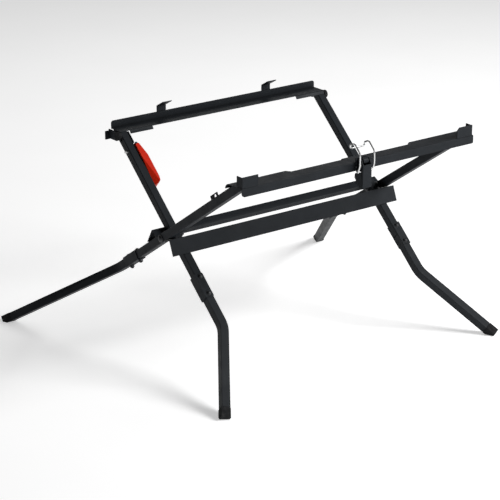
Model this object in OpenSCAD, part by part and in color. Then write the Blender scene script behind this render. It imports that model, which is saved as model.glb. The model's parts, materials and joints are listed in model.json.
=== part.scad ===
// Folding X-frame saw stand: two bent-leg tube frames on one pivot line, two sheet rails,
// a draw latch on the front rail and a sprung lock pin that holds the frames folded.
// X runs along the rails, Y from the front rail to the rear rail, Z up from the floor.

/* [Tube] */
// Side of the square tube
tube = 20; // [19:0.5:21]
// Wall thickness of the tube
tube_wall = 1.5; // [1.2:0.1:1.8]
// Outer corner radius of the tube
tube_corner = 2; // [1.9:0.1:2.5]

/* [Frames] */
// Height of the fold pivot above the floor
pivot_z = 303; // [302:0.5:304]
// Slope of the inner frame above the floor, in degrees
slope_a = 42; // [41.8:0.1:42.2]
// Slope of the outer frame above the floor, in degrees
slope_b = 34.2; // [34:0.1:34.4]
// Distance from the middle to the inner frame's tube centres
inner_x = 290; // [289:0.5:291]
// Gap between an inner tube and the outer tube beside it
frame_gap = 9; // [8.5:0.5:10]
// Outward splay of the four lower legs, in degrees
splay = 27.8; // [26:0.2:29]
// Centreline radius of the leg bends
bend_r = 60; // [45:5:70]
// Pivot to the front leg's bend, along the inner frame
bend_a = 246; // [244:1:248]
// Front leg length below its bend
run_a = 232.5; // [231.5:0.5:233]
// Pivot to the rear leg's bend, along the outer frame
bend_b = 219; // [217:1:221]
// Rear leg length below its bend
run_b = 361; // [360:0.5:361.5]

/* [Splices] */
// Length of a splice channel
splice_len = 61; // [58:1:64]
// Distance between a splice's two bolts
splice_pitch = 44; // [40:1:46]
// Pivot to the middle of a front splice
splice_a = 141; // [138:1:144]
// Pivot to the middle of a rear splice
splice_b = 150; // [147:1:153]

/* [Rails] */
// Height of the rest flanges above the floor
rest_z = 501; // [500:0.5:502]
// Length of the front rail
front_len = 660; // [658:1:664]
// Length of the rear rail
rear_len = 600; // [600:1:604]
// Sheet thickness
sheet = 2; // [1.8:0.1:2.2]
// Depth of the front rail's web
front_web = 19.5; // [18:0.5:22]
// Height of the rear rail's upstand
rear_web = 16.6; // [15:0.2:18]

/* [Cross angles] */
// Long leg of the cross angles
angle_long = 38; // [37:0.5:39]
// Short leg of the cross angles
angle_short = 20; // [19:0.5:20.5]

/* [Latch] */
// Offset of the draw latch from the middle of the front rail
latch_x = -4; // [-8:1:0]
// Length of the latch lever below its pivot
latch_len = 60; // [56:1:64]
// Diameter of the bail wire
wire_d = 3.8; // [3.4:0.1:3.8]

/* [Hidden] */
$fn = 48;

black = "#26282b";
zinc = "#c2c4c6";
oxide = "#1c1d1f";
red = "#d4281c";
rubber = "#161718";

half = tube / 2;
outer_x = inner_x + tube + frame_gap;
inner_face = inner_x - half;
joint_gap = 0.5;

// Foot caps: a head over the tube's end and a plug inside it
cap_side = tube + 0.8;
cap_head = 25;
plug_len = 18;
plug_fit = 0.1;

// The pivot's Y puts the middle of the whole stand at Y = 0
reach_a = bend_a + run_a * cos(splay);
reach_b = bend_b + run_b * cos(splay);
toe_front = -reach_a * cos(slope_a) - cap_side / 2 * (sin(slope_a) + sin(splay) * cos(slope_a));
toe_rear = reach_b * cos(slope_b) + cap_side / 2 * (sin(slope_b) + sin(splay) * cos(slope_b));
pivot_y = -(toe_front + toe_rear) / 2;

// Y of the rails' upright faces, from the pivot
front_y = -307.5;
rear_y = 238;
front_flange = 37.5;
rear_flange = 37;
step_at = 13;
step_drop = 1.2;
low_z = rest_z - step_drop;

// Pivot stack, as distances from the middle
shank_r = 4;
bush_r = 6;
run_fit = 0.05;
slack = 0.3;

// Splice bolts
bolt_r = 3;
head_r = 5.75;
head_h = 4.4;
nut_h = 5;

// Lock pin and its lever, along the inner frame from the pivot
pin_at = 233;
pin_r = 3;
pin_tip = inner_x + half + 6.7;
hinge_at = 243.8;
hinge_x = -inner_face + 3.2;
lever_low = -8;
lever_high = 14.5;
folded_gap = 4.3;

// Draw latch, from the pivot line in Y and from the floor in Z
latch_piv = [-317, 505];
bail_piv = [-322, 483];
lever_half = 12.5;
bail_half = 20.3;

function unit(a, b) = (b - a) / norm(b - a);
function left_of(v) = [-v[1], v[0]];
function miter(a, b) = (a + b) / (1 + a * b);
function rim(p, t) = [for (i = [0 : len(p) - 1])
    p[i] + t * miter(
        left_of(unit(p[max(i - 1, 0)], p[max(i, 1)])),
        left_of(unit(p[min(i, len(p) - 2)], p[min(i + 1, len(p) - 1)])))];
function backwards(p) = [for (i = [len(p) - 1 : -1 : 0]) p[i]];
function strip(p, t) = concat(p, backwards(rim(p, t)));
function arc(c, r, a, b, n = 5) = [for (i = [0 : n])
    c + r * [cos(a + (b - a) * i / n), sin(a + (b - a) * i / n)]];

// Frames' own axes: X across, Y up along the tube from the pivot, Z out of its top face
module in_a() translate([0, pivot_y, pivot_z]) rotate([slope_a, 0, 0]) children();
module in_b() translate([0, pivot_y, pivot_z]) rotate([-slope_b, 0, 0]) mirror([0, 1, 0]) children();
module from_pivot() translate([0, pivot_y, 0]) children();
module both() {
    children();
    mirror([1, 0, 0]) children();
}
module along_x(a, b) translate([a, 0, 0]) rotate([90, 0, 90]) linear_extrude(b - a) children();
module rod_x(a, b, r) translate([a, 0, 0]) rotate([0, 90, 0]) cylinder(h = b - a, r = r);
module floor_cut() difference() {
    children();
    translate([-700, -700, -100]) cube([1400, 1400, 100]);
}

module rounded(s, r) {
    square([s - 2 * r, s], center = true);
    square([s, s - 2 * r], center = true);
    for (i = [-1, 1], j = [-1, 1]) translate([i, j] * (s / 2 - r)) circle(r = r);
}
module tube_ring() difference() {
    rounded(tube, tube_corner);
    rounded(tube - 2 * tube_wall, tube_corner - tube_wall);
}
module along_tube(a, b) translate([0, a, 0]) rotate([-90, 0, 0]) linear_extrude(b - a) children();
module across_hole(at, r) translate([0, at, 0]) rod_x(-50, 50, r);
module bolt_hole(at) translate([0, at, -50]) cylinder(h = 100, r = bolt_r + 0.2);

// Straight upper tube, from the splice to under the rail
module upper_tube(joint) along_tube(-joint + joint_gap, 380) tube_ring();

// Bent lower leg of the right side, splaying outward below its bend
function turn(p, bend) = [-p[1] * sin(splay), -bend + p[1] * cos(splay)];
function leg_line(joint, bend, run, over) = let (t = bend_r * tan(splay / 2)) concat(
    [[0, -joint - joint_gap + over]],
    arc([bend_r, -bend + t], bend_r, 180, 180 + splay, 8),
    [turn([0, -run + cap_head - over], bend)]);
function leg_outline(p, w) = concat(rim(p, w), backwards(rim(p, -w)));
module lower_leg(joint, bend, run) difference() {
    translate([0, 0, -half]) linear_extrude(tube)
        polygon(leg_outline(leg_line(joint, bend, run, 0), half));
    translate([0, 0, -half + tube_wall]) linear_extrude(tube - 2 * tube_wall)
        polygon(leg_outline(leg_line(joint, bend, run, 1), half - tube_wall));
}
module foot_cap(bend, run) translate([0, -bend, 0]) rotate([0, 0, splay]) {
    along_tube(-run, -run + cap_head) square(cap_side, center = true);
    along_tube(-run + cap_head, -run + cap_head + plug_len)
        rounded(tube - 2 * tube_wall - 2 * plug_fit, tube_corner - tube_wall);
}

// Splice channel: plates above and below the tube, joined by a web on its outer side
module splice(at) difference() {
    translate([-half, -at - splice_len / 2, -half - sheet])
        cube([tube + sheet, splice_len, tube + 2 * sheet]);
    translate([-half - 1, -at - splice_len / 2 - 1, -half]) cube([tube + 1, splice_len + 2, tube]);
    for (s = [-1, 1]) bolt_hole(-at + s * splice_pitch / 2);
}
module dome(r, h) {
    big = (r * r + h * h) / (2 * h);
    intersection() {
        translate([0, 0, h - big]) sphere(r = big);
        cylinder(h = h + 1, r = r + 1);
    }
}
module splice_bolts(at) for (s = [-1, 1]) translate([0, -at + s * splice_pitch / 2, 0]) {
    translate([0, 0, half + sheet]) dome(head_r, head_h);
    translate([0, 0, -half - sheet - nut_h - 2]) cylinder(h = tube + 2 * sheet + nut_h + 2, r = bolt_r);
}
module hex_nut(r, h, bore) difference() {
    cylinder(h = h, r = r, $fn = 6);
    translate([0, 0, -1]) cylinder(h = h + 2, r = bore);
}
module splice_nuts(at) for (s = [-1, 1])
    translate([0, -at + s * splice_pitch / 2, -half - sheet - nut_h]) hex_nut(5.77, nut_h, bolt_r);

// Inner frame
module inner_tube() difference() {
    intersection() {
        in_a() translate([inner_x, 0, 0]) upper_tube(splice_a);
        translate([0, -600, 0]) cube([600, 1200, rest_z - sheet]);
    }
    in_a() translate([inner_x, 0, 0]) {
        across_hole(0, shank_r + 0.1);
        bolt_hole(-splice_a + splice_pitch / 2);
    }
}
module inner_tube_left() color(black) difference() {
    mirror([1, 0, 0]) inner_tube();
    in_a() translate([-inner_x, 0, 0]) across_hole(pin_at, pin_r + run_fit);
    in_a() translate([-inner_x, 265, 0]) rod_x(-50, 0, 2.5);
}
module inner_tube_right() color(black) inner_tube();
module front_leg() in_a() translate([inner_x, 0, 0]) difference() {
    lower_leg(splice_a, bend_a, run_a);
    bolt_hole(-splice_a - splice_pitch / 2);
}
module front_leg_left() color(black) mirror([1, 0, 0]) front_leg();
module front_leg_right() color(black) front_leg();
module front_splice() in_a() translate([inner_x, 0, 0]) splice(splice_a);
module front_splice_left() color(black) mirror([1, 0, 0]) front_splice();
module front_splice_right() color(black) front_splice();
module front_splice_bolts() color(oxide) both() in_a() translate([inner_x, 0, 0]) splice_bolts(splice_a);
module front_splice_nuts() color(oxide) both() in_a() translate([inner_x, 0, 0]) splice_nuts(splice_a);
module front_foot() floor_cut() in_a() translate([inner_x, 0, 0]) foot_cap(bend_a, run_a);
module front_foot_left() color(rubber) mirror([1, 0, 0]) front_foot();
module front_foot_right() color(rubber) front_foot();

// Corner rounding cutter for a plate in the XZ plane, at the corner of a unit sign pair
module corner_cut(x, z, sx, sz, r) translate([x, 0, z]) difference() {
    translate([sx > 0 ? -r : -1, -600, sz > 0 ? -r : -1]) cube([r + 1, 1200, r + 1]);
    translate([-sx * r, -601, -sz * r]) rotate([-90, 0, 0]) cylinder(h = 1202, r = r);
}

// Lower edge of the rear rail's curled front tabs
curl = 9;
module rear_rail() color(black) from_pivot() {
    base = [[rear_y, rest_z + rear_web], [rear_y, rest_z], [rear_y - rear_flange, rest_z]];
    edge = [rear_y - rear_flange, rest_z];
    tab = concat([edge + [4, 0]], arc(edge - [0, 4], 4, 90, 135, 3),
        [edge + [-0.3, -1.2] + curl * [-0.7, -0.7]]);
    difference() {
        along_x(-rear_len / 2, rear_len / 2) polygon(strip(base, sheet));
        corner_cut(-rear_len / 2, rest_z + rear_web, -1, 1, 6);
        corner_cut(rear_len / 2, rest_z + rear_web, 1, 1, 6);
    }
    along_x(-275, -212) polygon(strip(tab, sheet));
    intersection() {
        along_x(212, 298) polygon(strip(tab, sheet));
        linear_extrude(rest_z + 5) polygon([[206, edge[0]], [224, edge[0] - 20], [300, edge[0] - 20],
            [300, edge[0] + 5], [206, edge[0] + 5]]);
    }
}

// Hook over the rear rail: upright plate and a lip rising forward
hook_top = 532;
module saw_hook(x) color(black) from_pivot() along_x(x - 13, x + 13) polygon(strip(concat(
    [[rear_y + 2 * sheet, rest_z + 2]],
    arc([rear_y + 2 * sheet - 3, hook_top - 2], 3, 0, 61, 4),
    [[rear_y + 2 * sheet - 26, hook_top + 14.4]]), sheet));
module saw_hook_left() saw_hook(-158);
module saw_hook_right() saw_hook(151);

// Angle that lies like a roof on two tubes, both edges on their top faces
module cross_angle() {
    long_in = angle_long - sheet;
    short_in = angle_short - sheet;
    lean = atan2(short_in, long_in);
    start = [-15.25 - norm([long_in, short_in]), half];
    peak = start + long_in * [cos(lean), sin(lean)];
    along_x(-330, 330) polygon(strip([start, peak, [-15.25, half]], sheet));
}
module front_cross_angle() color(black) in_a() cross_angle();
module rear_cross_angle() color(black) in_b() cross_angle();

module storage_bracket() from_pivot() {
    translate([inner_x + half, 214, 475]) cube([2.5, 33, 22]);
    translate([inner_x + half, 245, 473]) cube([12, 3, 20]);
}
module storage_bracket_left() color(black) mirror([1, 0, 0]) storage_bracket();
module storage_bracket_right() color(black) storage_bracket();
module storage_bumpers() color(rubber) both() from_pivot()
    translate([0, 203, 490]) rod_x(inner_x + half, inner_x + half + 8, 10);

// Pivot: bolt through both tubes, spacer between them, bush in the outer tube
module at_pivot() translate([0, pivot_y, pivot_z]) children();
module ring_x(a, b, r, bore) difference() {
    rod_x(a, b, r);
    rod_x(a - 1, b + 1, bore);
}
bolt_end = inner_face - 12;
washer_at = outer_x + half + slack;
module pivot_bolts() color(oxide) both() at_pivot() {
    rod_x(bolt_end, washer_at + 1.6, shank_r);
    translate([washer_at + 1.6, 0, 0]) rotate([0, 90, 0]) dome(7.5, 3.2);
}
module pivot_washers() color(oxide) both() at_pivot()
    ring_x(washer_at, washer_at + 1.6, 9, shank_r + 0.1);
module pivot_spacers() color(oxide) both() at_pivot()
    ring_x(inner_x + half, outer_x - half - slack, 11, shank_r + 0.1);
module pivot_nuts() color(oxide) both() at_pivot()
    translate([inner_face - 7, 0, 0]) rotate([0, 90, 0]) hex_nut(7.5, 7, shank_r);
module pivot_bushes() color(zinc) both() at_pivot()
    ring_x(outer_x - half, outer_x + half, bush_r, shank_r + run_fit);

// Release lever and lock pin on the left inner tube
module lever_bracket() color(black) in_a() difference() {
    union() {
        translate([-inner_face, 248, -10.2]) cube([2, 32, 22.2]);
        translate([-inner_face, 239, -10.2]) cube([7, 23, 1.8]);
    }
    translate([hinge_x, hinge_at, -20]) cylinder(h = 20, r = 1.5);
}
module lever_hinge_pin() color(oxide) in_a() translate([hinge_x, hinge_at, 0]) {
    translate([0, 0, -10.2]) cylinder(h = 10.2 + lever_high + slack, r = 1.5);
    translate([0, 0, lever_high + slack]) cylinder(h = 1, r = 2.6);
}
module release_lever() color(red) in_a() difference() {
    translate([0, 0, lever_low]) linear_extrude(lever_high - lever_low) {
        polygon([[-279.5, 243.8], [-274.2, 245.2], [-269.5, 241], [-262.5, 210], [-262, 205],
            [-262, 148], [-264, 138], [-268, 133.6], [-273, 132.6], [-279.5, 134]]);
        translate([hinge_x, hinge_at]) circle(r = 2.9);
    }
    translate([hinge_x, hinge_at, -20]) cylinder(h = 40, r = 1.5 + run_fit);
    translate([-281, 225, -5.5]) cube([11, 13.3, 11]);
    translate([-279.8, 205, lever_high]) rotate([0, 0, 191.5]) rotate([0, 35, 0])
        translate([0, -5, 0]) cube([30, 90, 30]);
}
module lock_pin() color(zinc) in_a() translate([0, pin_at, 0]) {
    rod_x(-pin_tip, -273.5, pin_r);
    rod_x(-276.5, -274.5, 4.2);
}

// Outer frame
module outer_tube() difference() {
    intersection() {
        in_b() translate([outer_x, 0, 0]) upper_tube(splice_b);
        from_pivot() translate([0, front_y + sheet, 0]) cube([600, 800, low_z - sheet]);
    }
    in_b() translate([outer_x, 0, 0]) {
        across_hole(0, bush_r);
        bolt_hole(-splice_b + splice_pitch / 2);
    }
}
module outer_tube_left() color(black) mirror([1, 0, 0]) outer_tube();
module outer_tube_right() color(black) outer_tube();
module rear_leg() in_b() translate([outer_x, 0, 0]) difference() {
    lower_leg(splice_b, bend_b, run_b);
    bolt_hole(-splice_b - splice_pitch / 2);
}
module rear_leg_left() color(black) mirror([1, 0, 0]) rear_leg();
module rear_leg_right() color(black) rear_leg();
module rear_splice() in_b() translate([outer_x, 0, 0]) splice(splice_b);
module rear_splice_left() color(black) mirror([1, 0, 0]) rear_splice();
module rear_splice_right() color(black) rear_splice();
module rear_splice_bolts() color(oxide) both() in_b() translate([outer_x, 0, 0]) splice_bolts(splice_b);
module rear_splice_nuts() color(oxide) both() in_b() translate([outer_x, 0, 0]) splice_nuts(splice_b);
module rear_foot() floor_cut() in_b() translate([outer_x, 0, 0]) foot_cap(bend_b, run_b);
module rear_foot_left() color(rubber) mirror([1, 0, 0]) rear_foot();
module rear_foot_right() color(rubber) rear_foot();

// Front rail: web, stepped rest flange, and rear tabs that curl down
flange_edge = front_y + front_flange;
lip_y = front_y + 46;
lip_r = 15.5;
module front_rail() color(black) from_pivot() {
    end = front_len / 2;
    base = concat([[front_y, rest_z - front_web]], arc([front_y + 3, rest_z - 3], 3, 180, 90, 3),
        [[front_y + step_at - 1, rest_z], [front_y + step_at + 0.5, low_z], [flange_edge, low_z]]);
    lip = concat([[flange_edge - 1, low_z]], arc([lip_y, low_z - lip_r], lip_r, 90, 12, 6));
    difference() {
        along_x(-end, end) polygon(strip(base, -sheet));
        corner_cut(-end, rest_z - front_web, -1, -1, 8);
        corner_cut(end, rest_z - front_web, 1, -1, 3);
    }
    intersection() {
        along_x(-end, end) polygon(strip(lip, -sheet));
        linear_extrude(rest_z + 5) {
            polygon([[-end, flange_edge - 2], [-168, flange_edge - 2], [-175, lip_y],
                [-188, lip_y + 30], [-end, lip_y + 30]]);
            polygon([[-30, flange_edge - 2], [30, flange_edge - 2], [26, lip_y - 3],
                [-26, lip_y - 3]]);
            polygon([[171, flange_edge - 2], [end, flange_edge - 2], [end, lip_y + 30],
                [187, lip_y + 30], [180, lip_y]]);
        }
    }
}
module end_stop_left() color(black) from_pivot() {
    translate([-329, front_y, rest_z]) cube([42, sheet, 24.5]);
    translate([-329, front_y, rest_z]) cube([sheet, 20.8, 23.5]);
}
module end_stop_right() color(black) from_pivot() {
    translate([0, front_y + sheet, 0]) rotate([90, 0, 0]) linear_extrude(sheet)
        polygon([[280, rest_z], [326, rest_z], [326, rest_z + 25], [286, rest_z + 25], [280, rest_z + 19]]);
    translate([326 - sheet, front_y, rest_z]) cube([sheet, 20.8, 24]);
}

// Plate the lock pin drops into when the frames are folded
module striker_plate() color(black) in_b() difference() {
    translate([-outer_x + half, 213, -6]) cube([sheet, 30, 30]);
    translate([0, pin_at * cos(folded_gap), pin_at * sin(folded_gap)]) rod_x(-400, -200, 4.5);
}

// Draw latch
module at_latch() from_pivot() translate([latch_x, 0, 0]) children();
module spot(p, r) translate(p) circle(r = r);
cover_r = 7.5;
module latch_base() color(black) at_latch() {
    along_x(-7, 7) polygon(strip(concat([[front_y - 1.1, 508]],
        arc(latch_piv, cover_r, 62, 205, 9)), sheet));
    translate([-17.5, front_y - sheet, 484]) cube([35, sheet, 28]);
    for (x = [-9.5, 7.5]) difference() {
        along_x(x, x + 2) {
            polygon([[front_y - sheet, 485], [front_y - sheet, 510], latch_piv + [0, 5],
                latch_piv + [-5, 0], [front_y - sheet - 3, 485]]);
            spot(latch_piv, 5);
        }
        translate([0, latch_piv[0], latch_piv[1]]) rod_x(-20, 20, 2);
    }
}
module latch_rivets() color(oxide) at_latch() for (x = [-15, 15])
    translate([x, front_y - sheet, 492]) rotate([90, 0, 0]) dome(2.4, 1.6);
module latch_pivot_pin() color(oxide) at_latch() translate([0, latch_piv[0], latch_piv[1]]) {
    rod_x(-lever_half - 1.4, lever_half + 1.4, 2);
    for (x = [-lever_half - 1.4, lever_half + slack]) rod_x(x, x + 1.1, 3.6);
}
module latch_lever() color(black) at_latch() {
    face = -328.6;
    foot = latch_piv[1] - latch_len;
    translate([-lever_half, face, foot]) cube([2 * lever_half, sheet, latch_len - 7]);
    for (x = [-lever_half, lever_half - sheet]) difference() {
        along_x(x, x + sheet) {
            polygon([[face, foot], [face, 498], latch_piv + [-5.2, 3], latch_piv + [0, 6],
                latch_piv + [5.6, 2], [-311, 498], [-311, 478], [-301, 474], [-299.5, 464], [-317, foot]]);
            spot(latch_piv, 6);
        }
        translate([0, latch_piv[0], latch_piv[1]]) rod_x(-30, 30, 2 + run_fit);
        translate([0, bail_piv[0], bail_piv[1]]) rod_x(-30, 30, wire_d / 2 + run_fit);
    }
}

// Bail: wire legs that rise from the lever and hook rearward to a cross bar, as one swept wire
bail_r = 5;
bail_leg = concat([bail_piv - [-0.6, 1.9], [-327.2, 498]], arc([-304, 519], 23, 183, 158, 3),
    arc([-305.5, 533], 10.3, 150, 42, 5), arc([-300.5, 536], 7, 30, -8, 2));
bail_end = bail_leg[len(bail_leg) - 1];
bail_dir = unit(bail_leg[len(bail_leg) - 2], bail_end);
function lift(x, p) = [x, p[0], p[1]];
function leg_dir(i) = unit(bail_leg[max(i - 1, 0)], bail_leg[min(i + 1, len(bail_leg) - 1)]);
function leg_frames(x, s) = [for (i = [0 : len(bail_leg) - 1])
    [lift(x, bail_leg[i]), s * lift(0, leg_dir(i)), [s, 0, 0]]];
function corner(s) = [for (a = s > 0 ? [0 : 22.5 : 90] : [90 : -22.5 : 0])
    let (e = lift(0, bail_dir), x = [1, 0, 0])
    [lift(s * (bail_half - bail_r), bail_end) + bail_r * (s * cos(a) * x + sin(a) * e),
     s > 0 ? cos(a) * e - sin(a) * x : -sin(a) * x - cos(a) * e,
     s > 0 ? cos(a) * x + sin(a) * e : sin(a) * e - cos(a) * x]];
wire_sides = 12;
function ring_at(f) = [for (k = [0 : wire_sides - 1])
    f[0] + wire_d / 2 * (cos(360 * k / wire_sides) * f[2] + sin(360 * k / wire_sides) * cross(f[1], f[2]))];
module wire_bail() color(zinc) at_latch() {
    frames = concat(leg_frames(bail_half, 1), corner(1), corner(-1), backwards(leg_frames(-bail_half, -1)));
    rings = len(frames);
    n = wire_sides;
    polyhedron(
        points = [for (f = frames) each ring_at(f)],
        faces = concat([[for (k = [0 : n - 1]) k]], [[for (k = [n - 1 : -1 : 0]) (rings - 1) * n + k]],
            [for (i = [0 : rings - 2], k = [0 : n - 1])
                [i * n + k, (i + 1) * n + k, (i + 1) * n + (k + 1) % n, i * n + (k + 1) % n]]));
    both() translate([0, bail_piv[0], bail_piv[1]]) rod_x(9, bail_half, wire_d / 2 - 0.02);
}

inner_tube_left();
inner_tube_right();
front_leg_left();
front_leg_right();
front_splice_left();
front_splice_right();
front_splice_bolts();
front_splice_nuts();
front_foot_left();
front_foot_right();
rear_rail();
saw_hook_left();
saw_hook_right();
front_cross_angle();
storage_bracket_left();
storage_bracket_right();
storage_bumpers();
pivot_bolts();
pivot_washers();
pivot_spacers();
pivot_nuts();
lever_bracket();
lever_hinge_pin();
outer_tube_left();
outer_tube_right();
rear_leg_left();
rear_leg_right();
rear_splice_left();
rear_splice_right();
rear_splice_bolts();
rear_splice_nuts();
rear_foot_left();
rear_foot_right();
front_rail();
end_stop_left();
end_stop_right();
rear_cross_angle();
pivot_bushes();
striker_plate();
latch_base();
latch_rivets();
latch_pivot_pin();
latch_lever();
wire_bail();
release_lever();
lock_pin();
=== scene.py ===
import bpy
import json
import math
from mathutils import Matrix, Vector

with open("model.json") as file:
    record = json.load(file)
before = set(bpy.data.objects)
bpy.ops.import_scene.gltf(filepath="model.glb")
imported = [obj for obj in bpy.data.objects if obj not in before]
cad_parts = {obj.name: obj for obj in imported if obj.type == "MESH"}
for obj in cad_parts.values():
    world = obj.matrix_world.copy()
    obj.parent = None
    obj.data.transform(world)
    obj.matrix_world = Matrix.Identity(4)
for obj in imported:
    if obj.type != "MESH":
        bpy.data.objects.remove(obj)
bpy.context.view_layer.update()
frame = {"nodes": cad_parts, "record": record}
NODES = frame["nodes"]
SLOTS = {s["node"]: s["material_slot"] for s in frame["record"]["subparts"]}


# Node helpers
def new_material(name):
    m = bpy.data.materials.new(name)
    m.use_nodes = True
    t = m.node_tree
    return m, t, t.nodes["Principled BSDF"]


def noise(t, scale, detail=3.0, rough=0.55):
    co = t.nodes.new("ShaderNodeTexCoord")
    n = t.nodes.new("ShaderNodeTexNoise")
    n.inputs["Scale"].default_value = scale
    n.inputs["Detail"].default_value = detail
    n.inputs["Roughness"].default_value = rough
    t.links.new(co.outputs["Object"], n.inputs["Vector"])
    return n.outputs["Fac"]


def ramp(t, src, stops):
    r = t.nodes.new("ShaderNodeValToRGB")
    e = r.color_ramp.elements
    while len(e) < len(stops):
        e.new(0.5)
    for el, (p, c) in zip(e, stops):
        el.position = p
        el.color = (*c, 1) if isinstance(c, tuple) else (c, c, c, 1)
    t.links.new(src, r.inputs["Fac"])
    return r.outputs["Color"]


def mix(t, fac, a, b):
    m = t.nodes.new("ShaderNodeMix")
    m.data_type = "RGBA"
    for sock, v in ((m.inputs[0], fac), (m.inputs[6], a), (m.inputs[7], b)):
        if isinstance(v, bpy.types.NodeSocket):
            t.links.new(v, sock)
        else:
            sock.default_value = v if not isinstance(v, tuple) else (*v, 1)
    return m.outputs[2]


def edge_mask(t, radius, low, high):
    """1 along worn edges, 0 on flats: how far a rounded normal leans from the true one."""
    bevel = t.nodes.new("ShaderNodeBevel")
    bevel.samples = 6
    bevel.inputs["Radius"].default_value = radius
    geo = t.nodes.new("ShaderNodeNewGeometry")
    dot = t.nodes.new("ShaderNodeVectorMath")
    dot.operation = "DOT_PRODUCT"
    t.links.new(bevel.outputs["Normal"], dot.inputs[0])
    t.links.new(geo.outputs["Normal"], dot.inputs[1])
    r = t.nodes.new("ShaderNodeMapRange")
    r.inputs["From Min"].default_value = high
    r.inputs["From Max"].default_value = low
    t.links.new(dot.outputs["Value"], r.inputs["Value"])
    return r.outputs["Result"]


def bump(t, bsdf, layers):
    """Stacks bumps of (height, strength, distance in metres)."""
    last = None
    for height, strength, distance in layers:
        b = t.nodes.new("ShaderNodeBump")
        b.inputs["Strength"].default_value = strength
        b.inputs["Distance"].default_value = distance
        t.links.new(height, b.inputs["Height"])
        if last:
            t.links.new(last, b.inputs["Normal"])
        last = b.outputs["Normal"]
    t.links.new(last, bsdf.inputs["Normal"])


def math_node(t, op, a, b):
    m = t.nodes.new("ShaderNodeMath")
    m.operation = op
    for sock, v in zip(m.inputs, (a, b)):
        if isinstance(v, bpy.types.NodeSocket):
            t.links.new(v, sock)
        else:
            sock.default_value = v
    return m.outputs[0]


def painted_crevice_shade(t):
    """Painted shade mask from ambient occlusion: 0 in folds and where parts meet, 1 on open faces."""
    ao = t.nodes.new("ShaderNodeAmbientOcclusion")
    ao.samples = 6
    ao.inputs["Distance"].default_value = 0.007
    return ramp(t, ao.outputs["AO"], [(0.35, 0.0), (0.80, 1.0)])


def powder_coat(name, base, light, rough):
    """Satin coat with orange peel, lighter along its worn edges, with painted shade darkening its folds and
    the places where parts meet.
    """
    m, t, b = new_material(name)
    speck = noise(t, 900, 2)
    cloud = noise(t, 22, 4)
    peel = noise(t, 420, 2.5)
    wear = edge_mask(t, 0.0011, 0.80, 0.985)
    patches = ramp(t, noise(t, 60, 5, 0.65), [(0.42, 0.0), (0.60, 1.0)])
    body = mix(t, ramp(t, cloud, [(0.35, 0.0), (0.7, 1.0)]), base, tuple(c * 1.25 for c in base))
    body = mix(t, ramp(t, speck, [(0.55, 0.0), (0.75, 0.5)]), body, tuple(c * 1.8 for c in base))
    patchy = math_node(t, "ADD", 0.35, math_node(t, "MULTIPLY", patches, 0.65))
    worn = math_node(t, "MULTIPLY", wear, patchy)
    # Painted shade: folds and joins between parts darken towards 15% of the base colour
    t.links.new(mix(t, painted_crevice_shade(t), tuple(c * 0.15 for c in base), mix(t, worn, body, light)),
                b.inputs["Base Color"])
    r = ramp(t, noise(t, 35, 5), [(0.3, rough - 0.05), (0.75, rough + 0.09)])
    t.links.new(r, b.inputs["Roughness"])
    b.inputs["Specular IOR Level"].default_value = 0.10
    bump(t, b, [(peel, 0.22, 0.0005), (speck, 0.10, 0.0002)])
    return m


def zinc_plate(name):
    m, t, b = new_material(name)
    b.inputs["Metallic"].default_value = 1.0
    greys = [(0.3, (0.58, 0.59, 0.60)), (0.55, (0.74, 0.74, 0.73)), (0.8, (0.80, 0.79, 0.74))]
    t.links.new(ramp(t, noise(t, 70, 4, 0.6), greys), b.inputs["Base Color"])
    t.links.new(ramp(t, noise(t, 190, 3, 0.6), [(0.3, 0.24), (0.75, 0.42)]), b.inputs["Roughness"])
    bump(t, b, [(noise(t, 700, 2, 0.5), 0.15, 0.0002)])
    return m


def black_oxide(name):
    m, t, b = new_material(name)
    b.inputs["Metallic"].default_value = 0.6
    wear = edge_mask(t, 0.0006, 0.80, 0.985)
    tone = ramp(t, noise(t, 160, 4, 0.6), [(0.3, (0.020, 0.021, 0.024)), (0.75, (0.050, 0.051, 0.054))])
    t.links.new(mix(t, math_node(t, "MULTIPLY", wear, 0.6), tone, (0.22, 0.22, 0.22)), b.inputs["Base Color"])
    t.links.new(ramp(t, noise(t, 260, 3), [(0.3, 0.34), (0.75, 0.52)]), b.inputs["Roughness"])
    bump(t, b, [(noise(t, 900, 2), 0.15, 0.0002)])
    return m


def red_moulded(name):
    m, t, b = new_material(name)
    cloud = noise(t, 45, 4)
    edge = edge_mask(t, 0.0012, 0.82, 0.985)
    body = mix(t, cloud, (0.54, 0.016, 0.004), (0.66, 0.026, 0.007))
    b.inputs["Specular IOR Level"].default_value = 0.18
    t.links.new(mix(t, math_node(t, "MULTIPLY", edge, 0.5), body, (0.92, 0.13, 0.04)), b.inputs["Base Color"])
    t.links.new(ramp(t, noise(t, 120, 3), [(0.3, 0.30), (0.75, 0.44)]), b.inputs["Roughness"])
    bump(t, b, [(noise(t, 1300, 2), 0.18, 0.0002)])
    return m


def rubber(name):
    m, t, b = new_material(name)
    dust = ramp(t, noise(t, 90, 5, 0.7), [(0.45, 0.0), (0.72, 1.0)])
    t.links.new(mix(t, dust, (0.008, 0.0085, 0.0095), (0.024, 0.024, 0.025)), b.inputs["Base Color"])
    b.inputs["Specular IOR Level"].default_value = 0.12
    t.links.new(ramp(t, noise(t, 160, 3), [(0.3, 0.62), (0.75, 0.85)]), b.inputs["Roughness"])
    bump(t, b, [(noise(t, 800, 3), 0.30, 0.0003)])
    return m


COAT = (0.0130, 0.0152, 0.0180)
COAT_WORN = (0.046, 0.050, 0.055)
MATERIALS = {
    "black_powder_coat": powder_coat("black_powder_coat", COAT, COAT_WORN, 0.50),
    "zinc_steel": zinc_plate("zinc_steel"),
    "black_steel": black_oxide("black_steel"),
    "red_plastic": red_moulded("red_plastic"),
    "black_rubber": rubber("black_rubber"),
}

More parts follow.
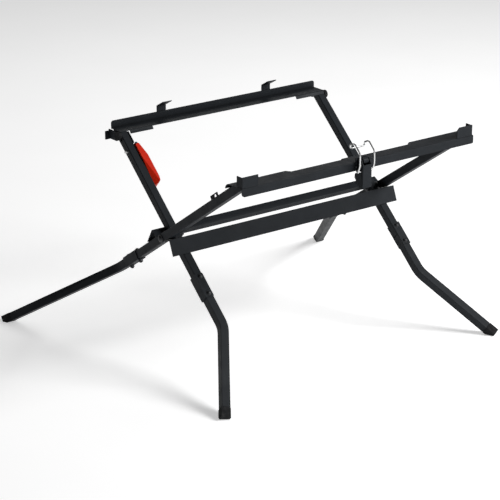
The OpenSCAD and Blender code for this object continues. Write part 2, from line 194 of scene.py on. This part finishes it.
# Rounded edges, in metres: tubes and caps are softer than cut sheet
SOFT = {"leg": 0.0019, "foot": 0.0012, "bumpers": 0.0012, "release": 0.0014, "latch_lever": 0.0006}
SHEET_EDGE = 0.0004


def dress(name, obj):
    mat = MATERIALS[SLOTS[name]]
    if not obj.material_slots:
        obj.data.materials.append(mat)
    for s in obj.material_slots:
        s.link = "OBJECT"
        s.material = mat
    if name == "wire_bail":
        return
    width = next((v for k, v in SOFT.items() if k in name), SHEET_EDGE)
    weld = obj.modifiers.new("weld", "WELD")
    weld.merge_threshold = 1e-6
    bevel = obj.modifiers.new("round", "BEVEL")
    bevel.width = width
    bevel.segments = 3 if width > 0.001 else 2
    bevel.limit_method = "ANGLE"
    bevel.angle_limit = math.radians(50)
    bevel.harden_normals = True
    bevel.use_clamp_overlap = True


for n, o in NODES.items():
    dress(n, o)


# Floor, light and camera. The floor's glow brings it near white without brightening the stand's tops
FLOOR_HALF = 20.0
FLOOR_GLOW = 0.50


def stage_floor():
    mesh = bpy.data.meshes.new("floor")
    h = FLOOR_HALF
    mesh.from_pydata([(-h, -h, 0), (h, -h, 0), (h, h, 0), (-h, h, 0)], [], [(0, 1, 2, 3)])
    o = bpy.data.objects.new("floor", mesh)
    bpy.context.scene.collection.objects.link(o)
    m, t, b = new_material("floor_pale")
    t.links.new(ramp(t, noise(t, 3, 2), [(0.3, 0.90), (0.7, 0.93)]), b.inputs["Base Color"])
    b.inputs["Roughness"].default_value = 0.9
    b.inputs["Specular IOR Level"].default_value = 0.1
    b.inputs["Emission Color"].default_value = (1, 1, 1, 1)
    b.inputs["Emission Strength"].default_value = FLOOR_GLOW
    mesh.materials.append(m)


def area_light(name, loc, aim, size, power):
    d = bpy.data.lights.new(name, "AREA")
    d.shape = "RECTANGLE"
    d.size, d.size_y = size
    d.energy = power
    o = bpy.data.objects.new(name, d)
    o.location = loc
    o.rotation_euler = (Vector(aim) - Vector(loc)).to_track_quat("-Z", "Y").to_euler()
    bpy.context.scene.collection.objects.link(o)


stage_floor()
area_light("key", (2.3, -2.7, 2.7), (0, 0, 0.3), (1.8, 1.6), 190)
area_light("back", (1.6, 2.0, 2.4), (0, 0, 0.3), (1.6, 1.2), 14)


def studio_world():
    """Soft surround, bright to the right and dim to the left."""
    w = bpy.data.worlds.new("world")
    w.use_nodes = True
    t = w.node_tree
    co = t.nodes.new("ShaderNodeTexCoord")
    sep = t.nodes.new("ShaderNodeSeparateXYZ")
    t.links.new(co.outputs["Generated"], sep.inputs[0])
    side = t.nodes.new("ShaderNodeMapRange")
    side.inputs["From Min"].default_value = -0.8
    side.inputs["From Max"].default_value = 0.6
    side.inputs["To Min"].default_value = 0.02
    side.inputs["To Max"].default_value = 0.70
    t.links.new(sep.outputs["X"], side.inputs["Value"])
    t.links.new(side.outputs["Result"], t.nodes["Background"].inputs["Strength"])
    bpy.context.scene.world = w


studio_world()

PIVOT_Y = -0.05444
cam = bpy.data.cameras.new("camera")
cam.lens = 141.6
cam.sensor_width = 36
cam.clip_end = 100
camera = bpy.data.objects.new("camera", cam)
camera.location = (-2.6728, -3.4502 + PIVOT_Y, 1.7896)
camera.rotation_euler = Vector((0.5649, 0.7511, -0.3415)).to_track_quat("-Z", "Y").to_euler()
bpy.context.scene.collection.objects.link(camera)
bpy.context.scene.camera = camera
bpy.context.scene.view_settings.view_transform = "Standard"
